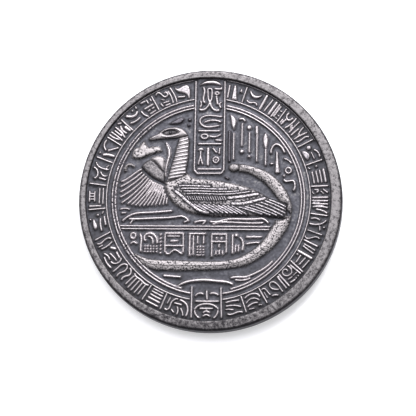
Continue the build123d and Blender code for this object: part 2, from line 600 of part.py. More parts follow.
with BuildPart() as goose_scapular_dots:
    with BuildSketch(figure_plane):
        for column in range(13):
            disc(-4.4 + 0.72 * column, 2.42 - 0.012 * (column - 4) ** 2, 0.1)
            disc(-4.04 + 0.72 * column, 2.7 - 0.015 * (column - 4) ** 2, 0.09)
        clear_of(covert_sketch)
    extrude(amount=0.6 * feather_height)

with BuildPart() as goose_wing_barbs:
    with BuildSketch(figure_plane) as barb_sketch:
        for barb in range(17):
            across = -3.05 + 0.35 * barb
            base = 0.04 + 0.0115 * (across + 0.3) ** 2
            stroke(thin_line, (across - 0.13, base + 0.25), (across + 0.13, base - 0.25))
        clear_of(covert_sketch, breast_ridge_sketch)
    extrude(amount=feather_height)

with BuildPart() as goose_wing_edges:
    with BuildSketch(figure_plane) as wing_edge_sketch:
        stroke(bold_line, (3.1, 0.18), (4.6, 0.32), (6.1, 0.56), (7.5, 0.8))
        stroke(bold_line, (3.7, -0.7), (5.1, -0.68), (6.8, -0.34), (8.6, 0.13))
        clear_of(barb_sketch, covert_sketch, breast_ridge_sketch)
    extrude(amount=feather_height)

with BuildPart() as goose_flight_feathers:
    with BuildSketch(figure_plane) as flight_sketch:
        for feather in range(9):
            root = -2.1 + 0.72 * feather
            top = -0.84 - 0.004 * feather ** 2
            stroke(fine_line, (root, top), (root + 1.0, top - 0.55), (root + 2.2, top - 1.25))
        clear_of(wing_edge_sketch, breast_ridge_sketch)
    extrude(amount=feather_height)

with BuildPart() as goose_tail_feathers:
    with BuildSketch(figure_plane):
        stroke(fine_line, (4.75, -1.24), (6.5, -1.75), (8.2, -2.3))
        stroke(fine_line, (5.65, -1.16), (7.5, -1.72), (9.4, -2.4))
        stroke(fine_line, (6.5, -0.98), (8.4, -1.62), (10.4, -2.45))
        stroke(fine_line, (7.3, -0.76), (9.3, -1.5), (11.3, -2.45))
        stroke(fine_line, (8.05, -0.5), (9.9, -1.22), (11.7, -2.1))
        stroke(fine_line, (8.7, -0.26), (10.3, -0.88), (11.75, -1.62))
        stroke(fine_line, (9.3, -0.04), (10.5, -0.5), (11.75, -1.12))
        clear_of(wing_edge_sketch, flight_sketch)
    extrude(amount=feather_height)

with BuildPart() as goose_left_leg:
    with BuildSketch(field_plane):
        stroke(sign_line, (-12.9, -3.35), (-12.2, -2.75), (-11.2, -2.3), (-9.5, -2.12), (-7.3, -1.98),
               (-5.6, -1.8))
        stroke(sign_line, (-11.9, -3.1), (-11.0, -3.1), (-8.5, -2.98), (-5.4, -2.8), (-4.2, -2.62))
        stroke(sign_line, (-4.2, -2.62), (-3.4, -2.85), (-2.95, -3.3))
        stroke(fine_line, (-11.4, -3.25), (-11.8, -3.8))
        stroke(fine_line, (-3.0, -3.3), (-3.6, -3.52))
        clear_of(body_outline)
    extrude(amount=sign_height)

with BuildPart() as goose_right_leg:
    with BuildSketch(field_plane):
        stroke(sign_line, (-1.95, -3.55), (-1.3, -3.35), (-0.35, -3.35))
        stroke(fine_line, (-0.35, -3.4), (-0.75, -3.82))
        stroke(sign_line, (0.4, -3.4), (1.4, -3.42), (2.6, -3.12), (5.0, -3.0), (8.1, -2.88))
        stroke(sign_line, (8.1, -2.88), (8.8, -3.2), (9.1, -3.5))
        stroke(fine_line, (0.8, -3.82), (1.4, -3.62), (3.0, -3.5), (6.0, -3.6), (8.3, -3.55))
        clear_of(body_outline)
    extrude(amount=sign_height)

with BuildPart() as ground_lines:
    with BuildSketch(field_plane):
        stroke(thin_line, (-13.35, -4.15), (9.4, -4.15))
        stroke(thin_line, (-13.1, -4.6), (9.2, -4.6))
        stroke(thin_line, (-13.3, -1.62), (-12.7, -1.48), (-12.0, -1.62))
        stroke(thin_line, (-13.1, -2.2), (-12.55, -2.15))
        clear_of(inner_ring_sketch)
    extrude(amount=line_height)

# ---------------------------------------------------------------- boat

with BuildPart() as boat_hull:
    with BuildSketch(field_plane) as hull_sketch:
        shape([(12.55, -2.2), (12.35, -3.5), (11.6, -5.0), (10.6, -6.5), (9.5, -7.7), (8.0, -8.85),
               (6.0, -9.95), (4.0, -10.45), (1.0, -10.75), (-3.0, -10.9), (-6.5, -10.9), (-8.6, -10.65),
               (-9.9, -9.9), (-11.15, -8.35)],
              [(-11.15, -8.35), (-10.2, -8.8), (-8.8, -9.25), (-6.0, -9.4), (-3.0, -9.5), (0.0, -9.55),
               (3.0, -9.4), (5.0, -8.85), (6.5, -8.0), (8.0, -6.75), (9.0, -5.5), (9.75, -4.2),
               (10.3, -3.2)],
              [(10.3, -3.2), (11.5, -3.05), (12.55, -2.2)])
        clear_of(body_outline, inner_ring_sketch)
    extrude(amount=figure_height)

with BuildPart() as boat_stern_curl:
    with BuildSketch(field_plane) as curl_sketch:
        shape([(12.55, -2.2), (12.62, -1.2), (12.35, 0.1), (11.85, 1.15), (11.0, 2.4), (9.5, 3.8), (8.0, 4.6),
               (6.0, 5.2), (4.6, 5.4)],
              [(4.6, 5.4), (4.6, 4.28)],
              [(4.6, 4.28), (5.5, 4.22), (6.9, 3.66), (8.25, 2.78), (9.4, 1.68), (10.3, 0.5), (11.1, -0.5)],
              [(11.1, -0.5), (11.8, -1.3), (12.55, -2.2)])
        clear_of(body_outline)
    extrude(amount=figure_height)

with BuildPart() as boat_stern_knob:
    with BuildSketch(field_plane):
        with Locations((3.85 * unit, 4.86 * unit)):
            Ellipse(0.76 * unit, 0.56 * unit)
        clear_of(curl_sketch)
    extrude(amount=figure_height)

# ---------------------------------------------------------------- crouching fan behind the goose

with BuildPart() as fan_mantle:
    with BuildSketch(field_plane) as mantle_sketch:
        shape([(-10.15, 4.85), (-9.5, 5.65), (-8.85, 5.95)],
              [(-8.85, 5.95), (-8.2, 5.5), (-7.55, 4.8), (-7.0, 4.15), (-6.68, 3.9)],
              [(-6.68, 3.9), (-6.72, 2.45)],
              [(-6.72, 2.45), (-7.5, 2.8), (-8.4, 3.3), (-9.25, 3.95), (-10.15, 4.85)])
    extrude(amount=figure_height)

with BuildPart() as fan_hood:
    with BuildSketch(field_plane) as hood_sketch:
        shape([(-8.8, 6.12), (-8.2, 6.42), (-7.6, 6.5), (-7.1, 6.35), (-6.8, 6.0)],
              [(-6.8, 6.0), (-6.82, 5.2), (-6.92, 4.35)],
              [(-6.92, 4.35), (-7.3, 4.75), (-7.8, 5.35), (-8.3, 5.8), (-8.8, 6.12)])
        clear_of(mantle_sketch)
    extrude(amount=sign_height)

with BuildPart() as fan_feathers:
    with BuildSketch(field_plane):
        stroke(fine_line, (-10.3, 4.5), (-11.3, 3.85), (-12.3, 3.1), (-13.2, 2.65))
        stroke(fine_line, (-10.2, 4.0), (-11.6, 2.9), (-13.3, 1.85))
        stroke(fine_line, (-9.85, 3.7), (-11.6, 2.15), (-13.3, 1.05))
        stroke(fine_line, (-9.5, 3.4), (-11.2, 1.7), (-13.3, 0.25))
        stroke(fine_line, (-9.2, 3.1), (-10.9, 1.2), (-13.1, -0.6))
        stroke(fine_line, (-8.9, 2.85), (-10.5, 0.9), (-12.2, -0.75))
        stroke(fine_line, (-8.6, 2.7), (-10.1, 0.7), (-11.6, -0.9))
        stroke(fine_line, (-8.3, 2.5), (-9.6, 0.6), (-11.0, -1.0))
        stroke(fine_line, (-8.0, 2.4), (-9.2, 0.5), (-10.4, -1.05))
        stroke(fine_line, (-7.7, 2.25), (-8.75, 0.45), (-9.8, -1.05))
        stroke(fine_line, (-7.4, 2.15), (-8.3, 0.4), (-9.2, -1.0))
        stroke(fine_line, (-7.12, 2.0), (-7.85, 0.4), (-8.6, -0.95))
        stroke(fine_line, (-6.92, 1.8), (-7.45, 0.35), (-8.0, -0.9))
        stroke(fine_line, (-6.75, 1.3), (-7.05, 0.2), (-7.4, -0.85))
        stroke(fine_line, (-6.55, 0.7), (-6.7, -0.1), (-6.85, -0.8))
        stroke(fine_line, (-6.25, 0.1), (-6.35, -0.7))
        clear_of(mantle_sketch, body_outline)
    extrude(amount=sign_height)

with BuildPart() as hanging_plume:
    with BuildSketch(field_plane):
        shape([(-6.6, 8.6), (-6.2, 8.15), (-5.85, 7.4), (-5.85, 6.5), (-6.15, 5.5), (-6.35, 4.7),
               (-6.45, 3.4)],
              [(-6.45, 3.4), (-6.6, 3.42)],
              [(-6.6, 3.42), (-6.62, 4.7), (-6.5, 5.6), (-6.3, 6.6), (-6.35, 7.6), (-6.6, 8.6)])
        clear_of(mantle_sketch, hood_sketch, neck_outline)
    extrude(amount=sign_height)

# ---------------------------------------------------------------- marks round the goose

with BuildPart() as small_bird:
    with BuildSketch(field_plane):
        shape([(-11.6, 6.4), (-11.55, 7.2), (-11.15, 7.75), (-10.7, 7.6)],
              [(-10.7, 7.6), (-10.3, 8.4), (-9.9, 8.85)],
              [(-9.9, 8.85), (-9.6, 8.2), (-9.2, 7.8)],
              [(-9.2, 7.8), (-8.3, 7.98), (-7.55, 7.85), (-7.25, 7.4)],
              [(-7.25, 7.4), (-8.1, 7.1), (-9.1, 6.8), (-10.0, 6.4), (-10.8, 6.2), (-11.6, 6.4)])
        stroke(fine_line, (-12.7, 4.35), (-12.6, 4.95), (-12.15, 5.25), (-11.5, 5.0))
    extrude(amount=sign_height)

with BuildPart() as crest_marks:
    with BuildSketch(field_plane):
        shape([(-6.3, 11.6), (-5.3, 12.05), (-4.25, 12.45), (-3.9, 12.25)],
              [(-3.9, 12.25), (-4.3, 11.8), (-5.1, 11.55), (-6.3, 11.6)])
        disc(-3.05, 12.2, 0.2)
        disc(-3.15, 11.35, 0.15)
        stroke(sign_line, (3.1, 10.4), (3.05, 8.0), (3.1, 5.9))
        stroke(thin_line, (2.6, 3.4), (2.95, 3.2))
    extrude(amount=line_height)

with BuildPart() as spear:
    with BuildSketch(field_plane):
        shape([(3.15, 12.95), (3.75, 12.6), (4.02, 12.0), (3.9, 11.2), (3.72, 10.65)],
              [(3.72, 10.65), (3.45, 11.2), (3.28, 12.1), (3.15, 12.95)])
        stroke(fine_line, (3.72, 10.1), (3.7, 6.2))
    extrude(amount=sign_height)

with BuildPart() as adze:
    with BuildSketch(field_plane):
        stroke(sign_line, (4.65, 12.35), (5.0, 12.4), (5.35, 12.1))
        stroke(fine_line, (4.98, 11.6), (4.95, 8.3))
        disc(4.95, 7.35, 0.27)
    extrude(amount=sign_height)

with BuildPart() as mace:
    with BuildSketch(field_plane):
        disc(6.05, 11.05, 0.34)
        stroke(fine_line, (6.1, 10.2), (6.1, 7.3))
        disc(6.1, 6.6, 0.2)
    extrude(amount=sign_height)

with BuildPart() as paddles:
    with BuildSketch(field_plane):
        stroke(bold_line, (7.2, 11.1), (7.22, 10.2))
        stroke(fine_line, (7.24, 10.2), (7.26, 5.9))
        shape([(8.55, 10.2), (8.85, 9.6), (8.9, 8.6), (8.62, 7.5)],
              [(8.62, 7.5), (8.26, 8.6), (8.25, 9.6), (8.55, 10.2)])
        stroke(fine_line, (8.6, 7.6), (8.6, 5.35))
    extrude(amount=sign_height)

with BuildPart() as lamp:
    with BuildSketch(field_plane):
        stroke(sign_line, (9.4, 7.2), (9.6, 8.0), (10.1, 8.5), (10.7, 8.35), (11.2, 7.8), (11.45, 7.3))
        shape([(10.18, 7.3), (10.42, 7.3)], [(10.42, 7.3), (10.75, 4.15)],
              [(10.75, 4.15), (10.4, 4.02), (10.08, 4.15)], [(10.08, 4.15), (10.18, 7.3)])
        with Locations((9.55 * unit, 5.5 * unit)):
            Ellipse(0.28 * unit, 0.15 * unit)
        clear_of(curl_sketch)
    extrude(amount=sign_height)

with BuildPart() as snake:
    with BuildSketch(field_plane):
        loop(12.1, 4.5, 0.85, 0.85, 0.24)
        stroke(thin_line, (11.5, 6.3), (12.0, 6.1), (12.5, 5.6))
        stroke(sign_line, (11.5, 3.0), (12.2, 2.85), (12.85, 2.9), (13.1, 2.4), (12.95, 1.5))
        disc(11.45, 3.65, 0.16)
        clear_of(curl_sketch)
    extrude(amount=sign_height)

# ---------------------------------------------------------------- lower register and water lines

with BuildPart() as register_frames:
    with BuildSketch(field_plane) as register_frame_sketch:
        stroke(fine_line, (-6.45, -5.35), (-6.45, -8.1))
        stroke(fine_line, (-3.7, -5.35), (-3.68, -8.1))
        stroke(fine_line, (-6.45, -5.25), (-3.7, -5.25))
        stroke(thin_line, (-6.45, -7.15), (-3.7, -7.15))
        stroke(fine_line, (-2.8, -5.3), (-0.4, -5.3))
        stroke(sign_line, (-2.7, -5.5), (-2.7, -8.6))
        stroke(fine_line, (0.65, -5.35), (0.65, -8.7))
        stroke(fine_line, (0.65, -5.35), (2.85, -5.35))
        stroke(fine_line, (2.85, -5.35), (2.85, -8.1))
        stroke(thin_line, (0.65, -6.5), (2.85, -6.5))
        stroke(sign_line, (3.8, -5.5), (3.8, -8.2))
    extrude(amount=sign_height)

with BuildPart() as register_signs:
    with BuildSketch(field_plane):
        loop(-11.3, -5.65, 0.75, 0.85, 0.24)
        stroke(fine_line, (-11.6, -6.85), (-11.2, -6.62), (-10.8, -6.85))
        stroke(sign_line, (-10.2, -5.5), (-10.05, -6.2), (-10.12, -7.2), (-10.1, -8.0))
        stroke(sign_line, (-9.45, -6.4), (-9.4, -5.5), (-8.7, -5.25), (-8.0, -5.65), (-7.65, -6.7))
        stroke(fine_line, (-8.95, -5.75), (-8.5, -6.0), (-8.3, -6.8))
        for row in range(3):
            for column in range(5):
                disc(-9.5 + 0.44 * column, -7.25 - 0.42 * row, 0.15)
        for step in range(6):
            disc(-7.12, -5.5 - 0.56 * step, 0.16)
        stroke(thin_line, (-6.05, -5.7), (-4.3, -5.7))
        stroke(fine_line, (-5.5, -6.45), (-4.6, -6.4))
        stroke(fine_line, (-6.3, -8.2), (-5.85, -8.4), (-5.3, -7.95), (-4.9, -7.8), (-4.4, -8.05),
               (-3.9, -8.35))
        stroke(fine_line, (-2.15, -5.7), (-2.15, -8.5))
        stroke(fine_line, (-1.5, -5.7), (-1.5, -6.7))
        stroke(fine_line, (-0.6, -5.7), (-0.6, -6.7))
        for row in range(4):
            for column in range(3):
                disc(-1.52 + 0.44 * column, -7.3 - 0.42 * row, 0.15)
        disc(1.35, -5.98, 0.2)
        disc(2.1, -5.98, 0.2)
        stroke(fine_line, (1.75, -6.95), (1.75, -7.3))
        stroke(fine_line, (1.3, -8.4), (1.3, -7.95))
        stroke(fine_line, (1.8, -8.4), (1.8, -7.85))
        stroke(fine_line, (2.3, -8.4), (2.3, -7.95))
        disc(4.35, -5.5, 0.26)
        stroke(fine_line, (4.25, -8.0), (4.25, -7.1))
        stroke(fine_line, (4.7, -7.95), (4.7, -7.1))
        stroke(sign_line, (5.0, -5.9), (5.35, -6.5), (5.4, -7.2), (5.3, -7.7))
        stroke(fine_line, (5.9, -5.75), (8.1, -5.7))
        stroke(fine_line, (5.95, -6.8), (6.6, -6.65), (7.8, -6.6))
        clear_of(hull_sketch, register_frame_sketch)
    extrude(amount=line_height)

with BuildPart() as water_lines:
    with BuildSketch(field_plane):
        stroke(sign_line, (-6.5, -11.72), (-5.6, -11.8), (-4.1, -11.9))
        stroke(sign_line, (3.7, -12.0), (4.6, -11.85), (5.7, -11.85), (7.0, -11.4), (8.5, -10.6), (9.8, -9.5))
        stroke(fine_line, (4.35, -12.3), (5.4, -12.35), (6.5, -12.05))
        clear_of(hull_sketch, bottom_arch_sketch)
    extrude(amount=line_height)

# ---------------------------------------------------------------- reverse side

with BuildPart() as reverse_ring:
    with BuildSketch(reverse_plane):
        Circle(16.2 * unit)
        Circle(15.8 * unit, mode=Mode.SUBTRACT)
    extrude(amount=-reverse_height)

with BuildPart() as reverse_rosette:
    with BuildSketch(reverse_plane):
        with PolarLocations(7.6 * unit, 12):
            Ellipse(3.6 * unit, 1.35 * unit)
    extrude(amount=-reverse_height)

with BuildPart() as reverse_disc:
    with BuildSketch(reverse_plane):
        Circle(3.2 * unit)
    extrude(amount=-reverse_height)

# ---------------------------------------------------------------- named pieces

pieces = {
    "coin_blank": coin_blank,
    "obverse_rim": obverse_rim,
    "reverse_rim": reverse_rim,
    "column_frame": column_frame,
    "column_upper_signs": column_upper_signs,
    "column_lower_signs": column_lower_signs,
    "panel_frame": panel_frame,
    "panel_signs": panel_signs,
    "bottom_arch": bottom_arch,
    "rim_line": rim_line,
    "border_line": border_line,
    "outer_ring": outer_ring,
    "inner_ring": inner_ring,
    "border_dividers": border_dividers,
    "border_signs_upper_right": border_signs_upper_right,
    "border_signs_right": border_signs_right,
    "border_signs_lower_right": border_signs_lower_right,
    "border_signs_lower_left": border_signs_lower_left,
    "border_signs_left": border_signs_left,
    "border_signs_upper_left": border_signs_upper_left,
    "goose_head": goose_head,
    "goose_eyelids": goose_eyelids,
    "goose_eyeball": goose_eyeball,
    "goose_neck": goose_neck,
    "goose_neck_rings": goose_neck_rings,
    "goose_body": goose_body,
    "goose_breast_ridge": goose_breast_ridge,
    "goose_wing_coverts": goose_wing_coverts,
    "goose_scapular_dots": goose_scapular_dots,
    "goose_wing_barbs": goose_wing_barbs,
    "goose_wing_edges": goose_wing_edges,
    "goose_flight_feathers": goose_flight_feathers,
    "goose_tail_feathers": goose_tail_feathers,
    "goose_left_leg": goose_left_leg,
    "goose_right_leg": goose_right_leg,
    "ground_lines": ground_lines,
    "boat_hull": boat_hull,
    "boat_stern_curl": boat_stern_curl,
    "boat_stern_knob": boat_stern_knob,
    "fan_mantle": fan_mantle,
    "fan_hood": fan_hood,
    "fan_feathers": fan_feathers,
    "hanging_plume": hanging_plume,
    "small_bird": small_bird,
    "crest_marks": crest_marks,
    "spear": spear,
    "adze": adze,
    "mace": mace,
    "paddles": paddles,
    "lamp": lamp,
    "snake": snake,
    "register_frames": register_frames,
    "register_signs": register_signs,
    "water_lines": water_lines,
    "reverse_ring": reverse_ring,
    "reverse_rosette": reverse_rosette,
    "reverse_disc": reverse_disc,
}

os.makedirs("parts", exist_ok=True)
for name, piece in pieces.items():
    piece.part.label = name
    export_step(piece.part, f"parts/{name}.step")
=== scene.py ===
import json
import math

import bpy
import numpy as np
from mathutils import Matrix, Vector, noise
from mathutils.bvhtree import BVHTree

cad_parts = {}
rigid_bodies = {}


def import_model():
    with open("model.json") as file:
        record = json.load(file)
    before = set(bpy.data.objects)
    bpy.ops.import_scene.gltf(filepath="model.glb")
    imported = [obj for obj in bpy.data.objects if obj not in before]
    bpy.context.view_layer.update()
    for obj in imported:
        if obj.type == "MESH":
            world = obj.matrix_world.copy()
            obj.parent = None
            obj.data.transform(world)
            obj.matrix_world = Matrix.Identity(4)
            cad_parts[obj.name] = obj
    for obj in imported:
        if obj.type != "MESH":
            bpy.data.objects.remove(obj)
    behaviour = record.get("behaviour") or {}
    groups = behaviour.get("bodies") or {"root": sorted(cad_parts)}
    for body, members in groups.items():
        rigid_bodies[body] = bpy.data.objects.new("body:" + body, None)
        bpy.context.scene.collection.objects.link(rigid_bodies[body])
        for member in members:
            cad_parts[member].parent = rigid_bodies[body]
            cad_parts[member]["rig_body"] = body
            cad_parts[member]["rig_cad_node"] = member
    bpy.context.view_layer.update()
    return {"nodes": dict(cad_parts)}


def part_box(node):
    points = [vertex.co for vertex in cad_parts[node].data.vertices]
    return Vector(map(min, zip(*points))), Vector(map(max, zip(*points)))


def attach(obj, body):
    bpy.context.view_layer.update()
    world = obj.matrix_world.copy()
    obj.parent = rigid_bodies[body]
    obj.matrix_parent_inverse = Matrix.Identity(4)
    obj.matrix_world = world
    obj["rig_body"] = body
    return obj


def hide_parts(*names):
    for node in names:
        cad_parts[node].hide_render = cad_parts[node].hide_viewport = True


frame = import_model()
scene = bpy.context.scene
nodes = frame["nodes"]

# ------------------------------------------------------------------ sizes from the frame, mm

MM = 1000.0


def corner(node):
    """Lowest and highest corner of a CAD node, in mm."""
    low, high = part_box(node)
    return low * MM, high * MM


def width_of(node):
    """Width of a CAD node from left to right, in mm."""
    low, high = corner(node)
    return high.x - low.x


RIM_LOW, RIM_HIGH = corner("obverse_rim")
COIN_RADIUS = RIM_HIGH.x
COIN_TOP = RIM_HIGH.z
FIELD_Z = RIM_LOW.z
FIGURE_Z = corner("goose_body")[1].z
REVERSE_Z = corner("coin_blank")[0].z
# the plain band runs half way between the border's two rings
BAND_RADIUS = (width_of("outer_ring") + width_of("inner_ring")) / 4
# lengths that belong to the design are given for a coin 40 mm across and multiplied by this
SCALE = COIN_RADIUS / 20.0
# side of the voxels that a stroke is rebuilt from
FINE = 0.06

# two heights this close are one level
LEVEL = 0.01
# the blank's own edge, left out when the rim's inner foot is looked for
OUTER_EDGE = 0.3 * SCALE

# the die was set a little off the blank: the design's centre is read from the foot of the rim's inner wall
rim_places = [v.co * MM for v in nodes["obverse_rim"].data.vertices]
foot = [v for v in rim_places
        if abs(v.z - FIELD_Z) < LEVEL and math.hypot(v.x, v.y) < COIN_RADIUS - OUTER_EDGE]
STRIKE_X = (min(v.x for v in foot) + max(v.x for v in foot)) / 2
STRIKE_Y = (min(v.y for v in foot) + max(v.y for v in foot)) / 2
FOOT_RADIUS = (max(v.x for v in foot) - min(v.x for v in foot)) / 2
rim_top = [v for v in rim_places if abs(v.z - COIN_TOP) < LEVEL]
CREST_RADIUS = min(math.hypot(v.x - STRIKE_X, v.y - STRIKE_Y) for v in rim_top)
FLAT_RADIUS = max(math.hypot(v.x, v.y) for v in rim_top)

# ------------------------------------------------------------------ modelling helpers


def take(piece):
    """Leaves one piece selected and active."""
    bpy.ops.object.select_all(action="DESELECT")
    piece.select_set(True)
    bpy.context.view_layer.objects.active = piece


def finish_mesh(piece, material, node):
    """Takes a shaped piece from millimetres to metres, and gives it its finish and its place on the coin."""
    piece.data.transform(Matrix.Scale(1 / MM, 4))
    piece.data.materials.clear()
    piece.data.materials.append(material)
    take(piece)
    bpy.ops.object.shade_smooth()
    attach(piece, "root")
    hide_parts(node)


def places_of(piece):
    """Vertex places of a piece as an array."""
    places = np.empty(len(piece.data.vertices) * 3, np.float32)
    piece.data.vertices.foreach_get("co", places)
    return places.reshape(-1, 3).astype(float)


def set_places(piece, places):
    """Writes vertex places back."""
    piece.data.vertices.foreach_set("co", np.asarray(places, np.float32).ravel())
    piece.data.update()


def wear_and_shade_of(piece):
    """How bright each vertex is from wear, patina and painted light and shade, from 0 to 1."""
    values = np.empty(len(piece.data.vertices), np.float32)
    piece.data.attributes["wear_and_shade"].data.foreach_get("value", values)
    return values


def set_wear_and_shade(piece, values):
    """Writes the wear, with any painted light and shade, that the finish reads."""
    layer = piece.data.attributes.get("wear_and_shade") or piece.data.attributes.new("wear_and_shade", "FLOAT", "POINT")
    layer.data.foreach_set("value", np.clip(values, 0, 1).astype(np.float32))


# a face whose normal rises or falls by less than this belongs to a wall
UPRIGHT = 0.4


def wall_tree(names):
    """Upright walls of CAD nodes as one search tree, for distances across the field."""
    places = []
    faces = []
    for name in names:
        mesh = nodes[name].data
        start = len(places)
        places.extend(v.co * MM for v in mesh.vertices)
        for face in mesh.polygons:
            if abs(face.normal.z) < UPRIGHT:
                faces.append([start + v for v in face.vertices])
    return BVHTree.FromPolygons(places, faces)


def surface_tree(piece):
    """Search tree of a shaped piece, to lay other strokes on it."""
    return BVHTree.FromPolygons([v.co for v in piece.data.vertices],
                                [face.vertices for face in piece.data.polygons])


# a place nearer than this is on the wall itself
TOUCHING = 1e-4
# towards the coin's foot means down, and this much to the left
FOOT_LEAN = 0.25


def reach(tree, places, z, limit):
    """Distance to the nearest wall, up to a limit, and how far it lies towards the coin's foot, 0 to 1."""
    away = np.full(len(places), limit)
    below = np.full(len(places), 0.5)
    for index, (x, y, _) in enumerate(places):
        wall, _, _, gap = tree.find_nearest((x, y, z), limit)
        if gap is not None:
            away[index] = gap
            if gap > TOUCHING:
                below[index] = 0.5 - ((wall.y - y) + FOOT_LEAN * (wall.x - x)) / (2 * gap)
    return away, np.clip(below, 0, 1)


# any slice through the noise does; this one is kept so that the surface is the same each time
NOISE_SLICE = 3.7


def grain(places, size, seed=0.0):
    """Smooth unevenness of a cast and tumbled surface, from -1 to 1."""
    return np.array([noise.noise((x / size + seed, y / size - seed, z / size + NOISE_SLICE))
                     for x, y, z in places])


def pits_in(places, size, seed, level):
    """Scattered pits, 1 where they are deep: a higher level leaves fewer."""
    return np.clip(2.4 * grain(places, size, seed) - level, 0, 1)


def fade(distance, width):
    """1 at no distance, dying away over a width of the design."""
    return np.exp(-distance / (width * SCALE))


def bell(distance, width):
    """1 at no distance, with a round top and soft ends."""
    return np.exp(-(distance / (width * SCALE)) ** 2)


# the CAD's loose triangles meet to within this
MERGE = 0.0005
# a wall further off than this doesn't round a top
WALL_LIMIT = 1.5
# the rough cast skin: grain sizes, how bright its high spots rub, and the height that rubs so
SKIN_COARSE = 0.22
SKIN_FINE = 0.11
SKIN_GLINT = 1.4
SKIN_HEIGHT = 0.1
# a top is broad from this far inside its wall, and fully so after this much more
BROAD_FROM = 0.11 * SCALE
BROAD_OVER = 0.13 * SCALE
# strokes go this far into the shape they lie on, so no light shows under them
SUNK = 0.02


def struck(node, voxel, rounding, shoulder=0.25, rough=0.0, over=None, low_wear=0.0, top_wear=1.0,
           crest=1.0, draft=0.1, lower_rounding=None, flat_loss=0.0):
    """A raised feature as the die leaves it: the CAD outline with drafted sides and a rounded top.

    rounding: how far in from its wall the top curves; lower_rounding: the same on the side towards the
    coin's foot; shoulder: share of the height right at the wall; draft: how far the foot spreads;
    rough: height of the cast skin; over: search tree of a shape that the feature lies on;
    low_wear, top_wear and crest: wear at the foot and at the top, and how steeply it rises between;
    flat_loss: share of that wear that a broad top lacks."""
    source = nodes[node]
    piece = source.copy()
    piece.data = source.data.copy()
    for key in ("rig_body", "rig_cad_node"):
        if key in piece:
            del piece[key]
    piece.parent = None
    piece.name = node + "_struck"
    scene.collection.objects.link(piece)
    piece.data.transform(Matrix.Scale(MM, 4))
    take(piece)
    bpy.ops.object.mode_set(mode="EDIT")
    bpy.ops.mesh.select_all(action="SELECT")
    bpy.ops.mesh.remove_doubles(threshold=MERGE)
    bpy.ops.object.mode_set(mode="OBJECT")
    remesh = piece.modifiers.new("Remesh", "REMESH")
    remesh.mode = "VOXEL"
    remesh.voxel_size = voxel
    bpy.ops.object.modifier_apply(modifier=remesh.name)
    low, high = corner(node)
    places = places_of(piece)
    away, below = reach(wall_tree([node]), places, (low.z + high.z) / 2, WALL_LIMIT)
    # the sides towards the coin's foot fall away more slowly
    rounding = rounding + ((lower_rounding or rounding) - rounding) * below
    inward = np.clip(away / rounding, 0, 1)
    dome = shoulder + (1 - shoulder) * np.sqrt(1 - (1 - inward) ** 2)
    share = np.clip((places[:, 2] - low.z) / (high.z - low.z), 0, 1)
    if node.startswith("reverse_"):
        share = 1 - share
        places[:, 2] = high.z - share * (high.z - low.z) * dome
    else:
        facing = np.empty(len(places) * 3, np.float32)
        piece.data.vertices.foreach_get("normal", facing)
        places[:, :2] += facing.reshape(-1, 3)[:, :2] * (draft * SCALE * (1 - share))[:, None]
        places[:, 2] = low.z + share * (high.z - low.z) * dome
    lift = share * dome
    # a broad top is rubbed less bright than a narrow crest
    lift = lift * (1 - flat_loss * np.clip((away - BROAD_FROM) / BROAD_OVER, 0, 1))
    if rough:
        bumps = grain(places, SKIN_COARSE) + 0.6 * grain(places, SKIN_FINE, 5.0)
        places[:, 2] += rough * bumps * np.clip(lift * 2, 0, 1)
        lift = lift + SKIN_GLINT * rough * bumps / SKIN_HEIGHT
    if over is not None:
        for index, (x, y, z) in enumerate(places):
            hit, _, _, _ = over.ray_cast((x, y, COIN_TOP + 1), (0, 0, -1))
            ground = hit.z if hit is not None else FIELD_Z
            places[index, 2] = ground - SUNK + (z - low.z)
    places[:, 2] = np.clip(places[:, 2], 0, COIN_TOP)
    set_places(piece, places)
    worn = np.clip(lift, 0, None) ** crest
    set_wear_and_shade(piece, low_wear + (top_wear - low_wear) * worn)
    return piece


# the walls of the strokes on the goose are met at this height, and none is looked for further off
STROKE_Z = FIGURE_Z + 0.05
GROOVE_LIMIT = 0.8


def groove(piece, names, depth, width):
    """Leaves patina and painted shade in the grooves between the strokes that stand on a piece."""
    near, _ = reach(wall_tree(names), places_of(piece), STROKE_Z, GROOVE_LIMIT)
    set_wear_and_shade(piece, wear_and_shade_of(piece) - depth * fade(near, width))


# just above the field: pits go into what is higher, and the field meets the strokes' walls here
LOW_Z = FIELD_Z + 0.08
# a pitted sector fades in and out over this many degrees
SECTOR_FADE = 12


def stipple(piece, depth, size, darken, sector=None):
    """Pits of a blasted die, lowered and darkened; a sector of clock angles limits them."""
    places = places_of(piece)
    pits = pits_in(places, size, 7.0, 0.25)
    if sector is not None:
        clock = np.degrees(np.arctan2(places[:, 0] - STRIKE_X, places[:, 1] - STRIKE_Y)) % 360
        after_start = np.clip((clock - sector[0]) / SECTOR_FADE, 0, 1)
        before_end = np.clip((sector[1] - clock) / SECTOR_FADE, 0, 1)
        pits = pits * (after_start * before_end)
    places[:, 2] -= depth * pits * (places[:, 2] > LOW_Z)
    set_places(piece, places)
    set_wear_and_shade(piece, wear_and_shade_of(piece) - darken * pits)


# ------------------------------------------------------------------ finishes


def linear(value):
    """sRGB hex to linear colour."""
    channels = [int(value[i:i + 2], 16) / 255 for i in (1, 3, 5)]
    return tuple(c / 12.92 if c <= 0.04045 else ((c + 0.055) / 1.055) ** 2.4 for c in channels) + (1.0,)


def add_node(tree, kind, settings=None, inputs=None):
    """Adds a shader node with its settings; an input may be a value or another node's output."""
    node = tree.nodes.new(kind)
    for key, value in (settings or {}).items():
        setattr(node, key, value)
    for key, value in (inputs or {}).items():
        if isinstance(value, bpy.types.NodeSocket):
            tree.links.new(value, node.inputs[key])
        else:
            node.inputs[key].default_value = value
    return node


# tumbling leaves blotches about half a millimetre across, and grit of about 0.15 mm that is 0.02 mm deep
BLOTCHES_PER_MM = 1.9
GRIT_PER_MM = 6.5
GRIT_DEPTH = 0.02
# places on the scale from blackened to rubbed where the middle and the palest tones sit
MIDDLE_TONE = 0.45
PALE_TONE = 0.9


